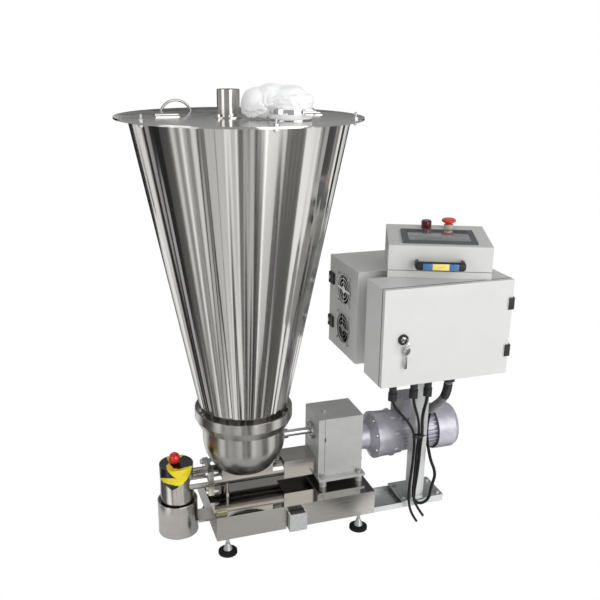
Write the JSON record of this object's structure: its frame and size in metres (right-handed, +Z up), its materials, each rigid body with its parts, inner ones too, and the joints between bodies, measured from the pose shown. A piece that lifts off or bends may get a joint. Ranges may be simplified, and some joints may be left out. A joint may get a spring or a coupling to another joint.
{
  "type": "loss-in-weight feeder",
  "caption": "Loss-in-weight twin-screw feeder with a conical steel hopper, agitator bowl, gear motor and swivelling operator box.",
  "frame": {"origin": "on the floor under the middle of the bounding box", "axes": "+Z up, +X from the hopper to the drive motor and the cabinets, +Y to the rear"},
  "size_m": [1.021, 0.634, 1.2956],
  "materials": {
    "alloy": "machined aluminium",
    "bag_cloth": "white polyester felt",
    "black_gloss": "black gloss",
    "black_plastic": "black polyamide",
    "black_rubber": "black rubber",
    "black_steel": "black coated zinc",
    "chrome": "chrome-plated steel wire",
    "grey_paint": "light grey powder coat",
    "lamp_red": "dark red lamp lens",
    "machined_steel": "machined steel",
    "mirror_steel": "polished stainless steel",
    "motor_grey": "cast aluminium, silver-grey paint",
    "red_plastic": "red phenolic ball",
    "stainless": "brushed stainless steel sheet",
    "stop_collar": "yellow collar",
    "stop_red": "red mushroom head",
    "white_paint": "off-white powder coat",
    "zinc_steel": "zinc-plated steel"
  },
  "bodies": {
    "lid": {"lid_rear": "mirror_steel"},
    "screw_a": {"screw_front": "machined_steel"},
    "screw_b": {"screw_rear": "machined_steel"},
    "drive": {"drive_shaft": "machined_steel"},
    "stirrer": {"agitator": "stainless"},
    "cooling_fan": {"motor_fan": "black_plastic"},
    "front_door": {"front_door": "grey_paint", "door_lock": "black_plastic"},
    "lock": {"lock_core": "chrome"},
    "rear_door": {"rear_door": "grey_paint"},
    "panel": {"panel_tray": "white_paint", "panel_cover": "white_paint", "touch_panel": "black_gloss", "signal_lamp": "lamp_red", "estop_collar": "stop_collar", "panel_handle": "black_plastic"},
    "stop_button": {"estop_button": "stop_red"},
    "fan_low": {"fan_rotor_lower": "black_plastic"},
    "fan_high": {"fan_rotor_upper": "black_plastic"},
    "frame": {"base_cover": "mirror_steel", "cabinet_hinges": "black_steel", "cabinet_post": "stainless", "cable_glands": "black_plastic", "cable_left": "black_rubber", "cable_middle": "black_rubber", "cable_right": "black_rubber", "cap_knob": "red_plastic", "clamp_ring": "stainless", "control_modules": "grey_paint", "discharge_cap": "stainless", "discharge_head": "stainless", "fan_cowl": "motor_grey", "fan_frames": "black_plastic", "fan_guards": "chrome", "fasteners": "zinc_steel", "feed_bowl": "stainless", "filter_bag": "bag_cloth", "foot_pads": "black_rubber", "foot_stems": "zinc_steel", "front_cabinet": "grey_paint", "gear_housing": "machined_steel", "ground_frame": "stainless", "hopper": "stainless", "hose_clamp": "stainless", "housing_base": "machined_steel", "housing_cover": "machined_steel", "inlet_pipe": "mirror_steel", "lantern_block": "machined_steel", "level_vial": "alloy", "lid_front": "mirror_steel", "load_cell": "alloy", "motor_body": "motor_grey", "motor_conduit": "black_rubber", "outlet_sleeve": "stainless", "outrigger_channel": "stainless", "rear_cabinet": "grey_paint", "reducer_casing": "motor_grey", "screw_barrel": "machined_steel", "shaft_bearings": "machined_steel", "terminal_box": "black_plastic"}
  },
  "joints": [
    {"name": "drive_spin", "type": "hinge", "parent": "frame", "child": "drive", "pos_m": [0.13453, 0, 0.24303], "axis": [1, 0, 0], "continuous": true},
    {"name": "screw_front_spin", "type": "hinge", "parent": "frame", "child": "screw_a", "pos_m": [-0.19347, -0.015, 0.187], "axis": [1, 0, 0], "continuous": true},
    {"name": "screw_rear_spin", "type": "hinge", "parent": "frame", "child": "screw_b", "pos_m": [-0.19347, 0.015, 0.187], "axis": [1, 0, 0], "continuous": true},
    {"name": "agitator_spin", "type": "hinge", "parent": "frame", "child": "stirrer", "pos_m": [-0.19347, 0, 0.28903], "axis": [1, 0, 0], "continuous": true},
    {"name": "motor_fan_spin", "type": "hinge", "parent": "frame", "child": "cooling_fan", "pos_m": [0.44153, 0, 0.24303], "axis": [1, 0, 0], "continuous": true},
    {"name": "lid_lift", "type": "hinge", "parent": "frame", "child": "lid", "pos_m": [-0.19347, 0, 1.2136], "axis": [1, 0, 0], "range_deg": [0, 100]},
    {"name": "front_door_swing", "type": "hinge", "parent": "frame", "child": "front_door", "pos_m": [0.49553, -0.25365, 0.65], "axis": [0, 0, 1], "range_deg": [0, 120]},
    {"name": "lock_turn", "type": "hinge", "parent": "front_door", "child": "lock", "pos_m": [0.16953, -0.262, 0.655], "axis": [0, 1, 0], "range_deg": [0, 90]},
    {"name": "rear_door_swing", "type": "hinge", "parent": "frame", "child": "rear_door", "pos_m": [0.10853, 0.12165, 0.65], "axis": [0, 0, 1], "range_deg": [0, 120]},
    {"name": "panel_swivel", "type": "hinge", "parent": "frame", "child": "panel", "pos_m": [0.30853, -0.115, 0.792], "axis": [0, 0, 1], "range_deg": [-30, 60]},
    {"name": "estop_press", "type": "slide", "parent": "panel", "child": "stop_button", "axis": [0, 0, -1], "range_m": [0, 0.004], "stiffness_N_per_m": 1500},
    {"name": "fan_lower_spin", "type": "hinge", "parent": "frame", "child": "fan_low", "pos_m": [0.12753, 0.01, 0.6], "axis": [1, 0, 0], "continuous": true},
    {"name": "fan_upper_spin", "type": "hinge", "parent": "frame", "child": "fan_high", "pos_m": [0.12753, 0.01, 0.716], "axis": [1, 0, 0], "continuous": true}
  ],
  "couplings": [
    {"joint": "screw_front_spin", "follows": "drive_spin", "ratio": -2.625},
    {"joint": "screw_rear_spin", "follows": "drive_spin", "ratio": -2.625},
    {"joint": "agitator_spin", "follows": "drive_spin", "ratio": -0.39394},
    {"joint": "motor_fan_spin", "follows": "drive_spin", "ratio": 10}
  ]
}
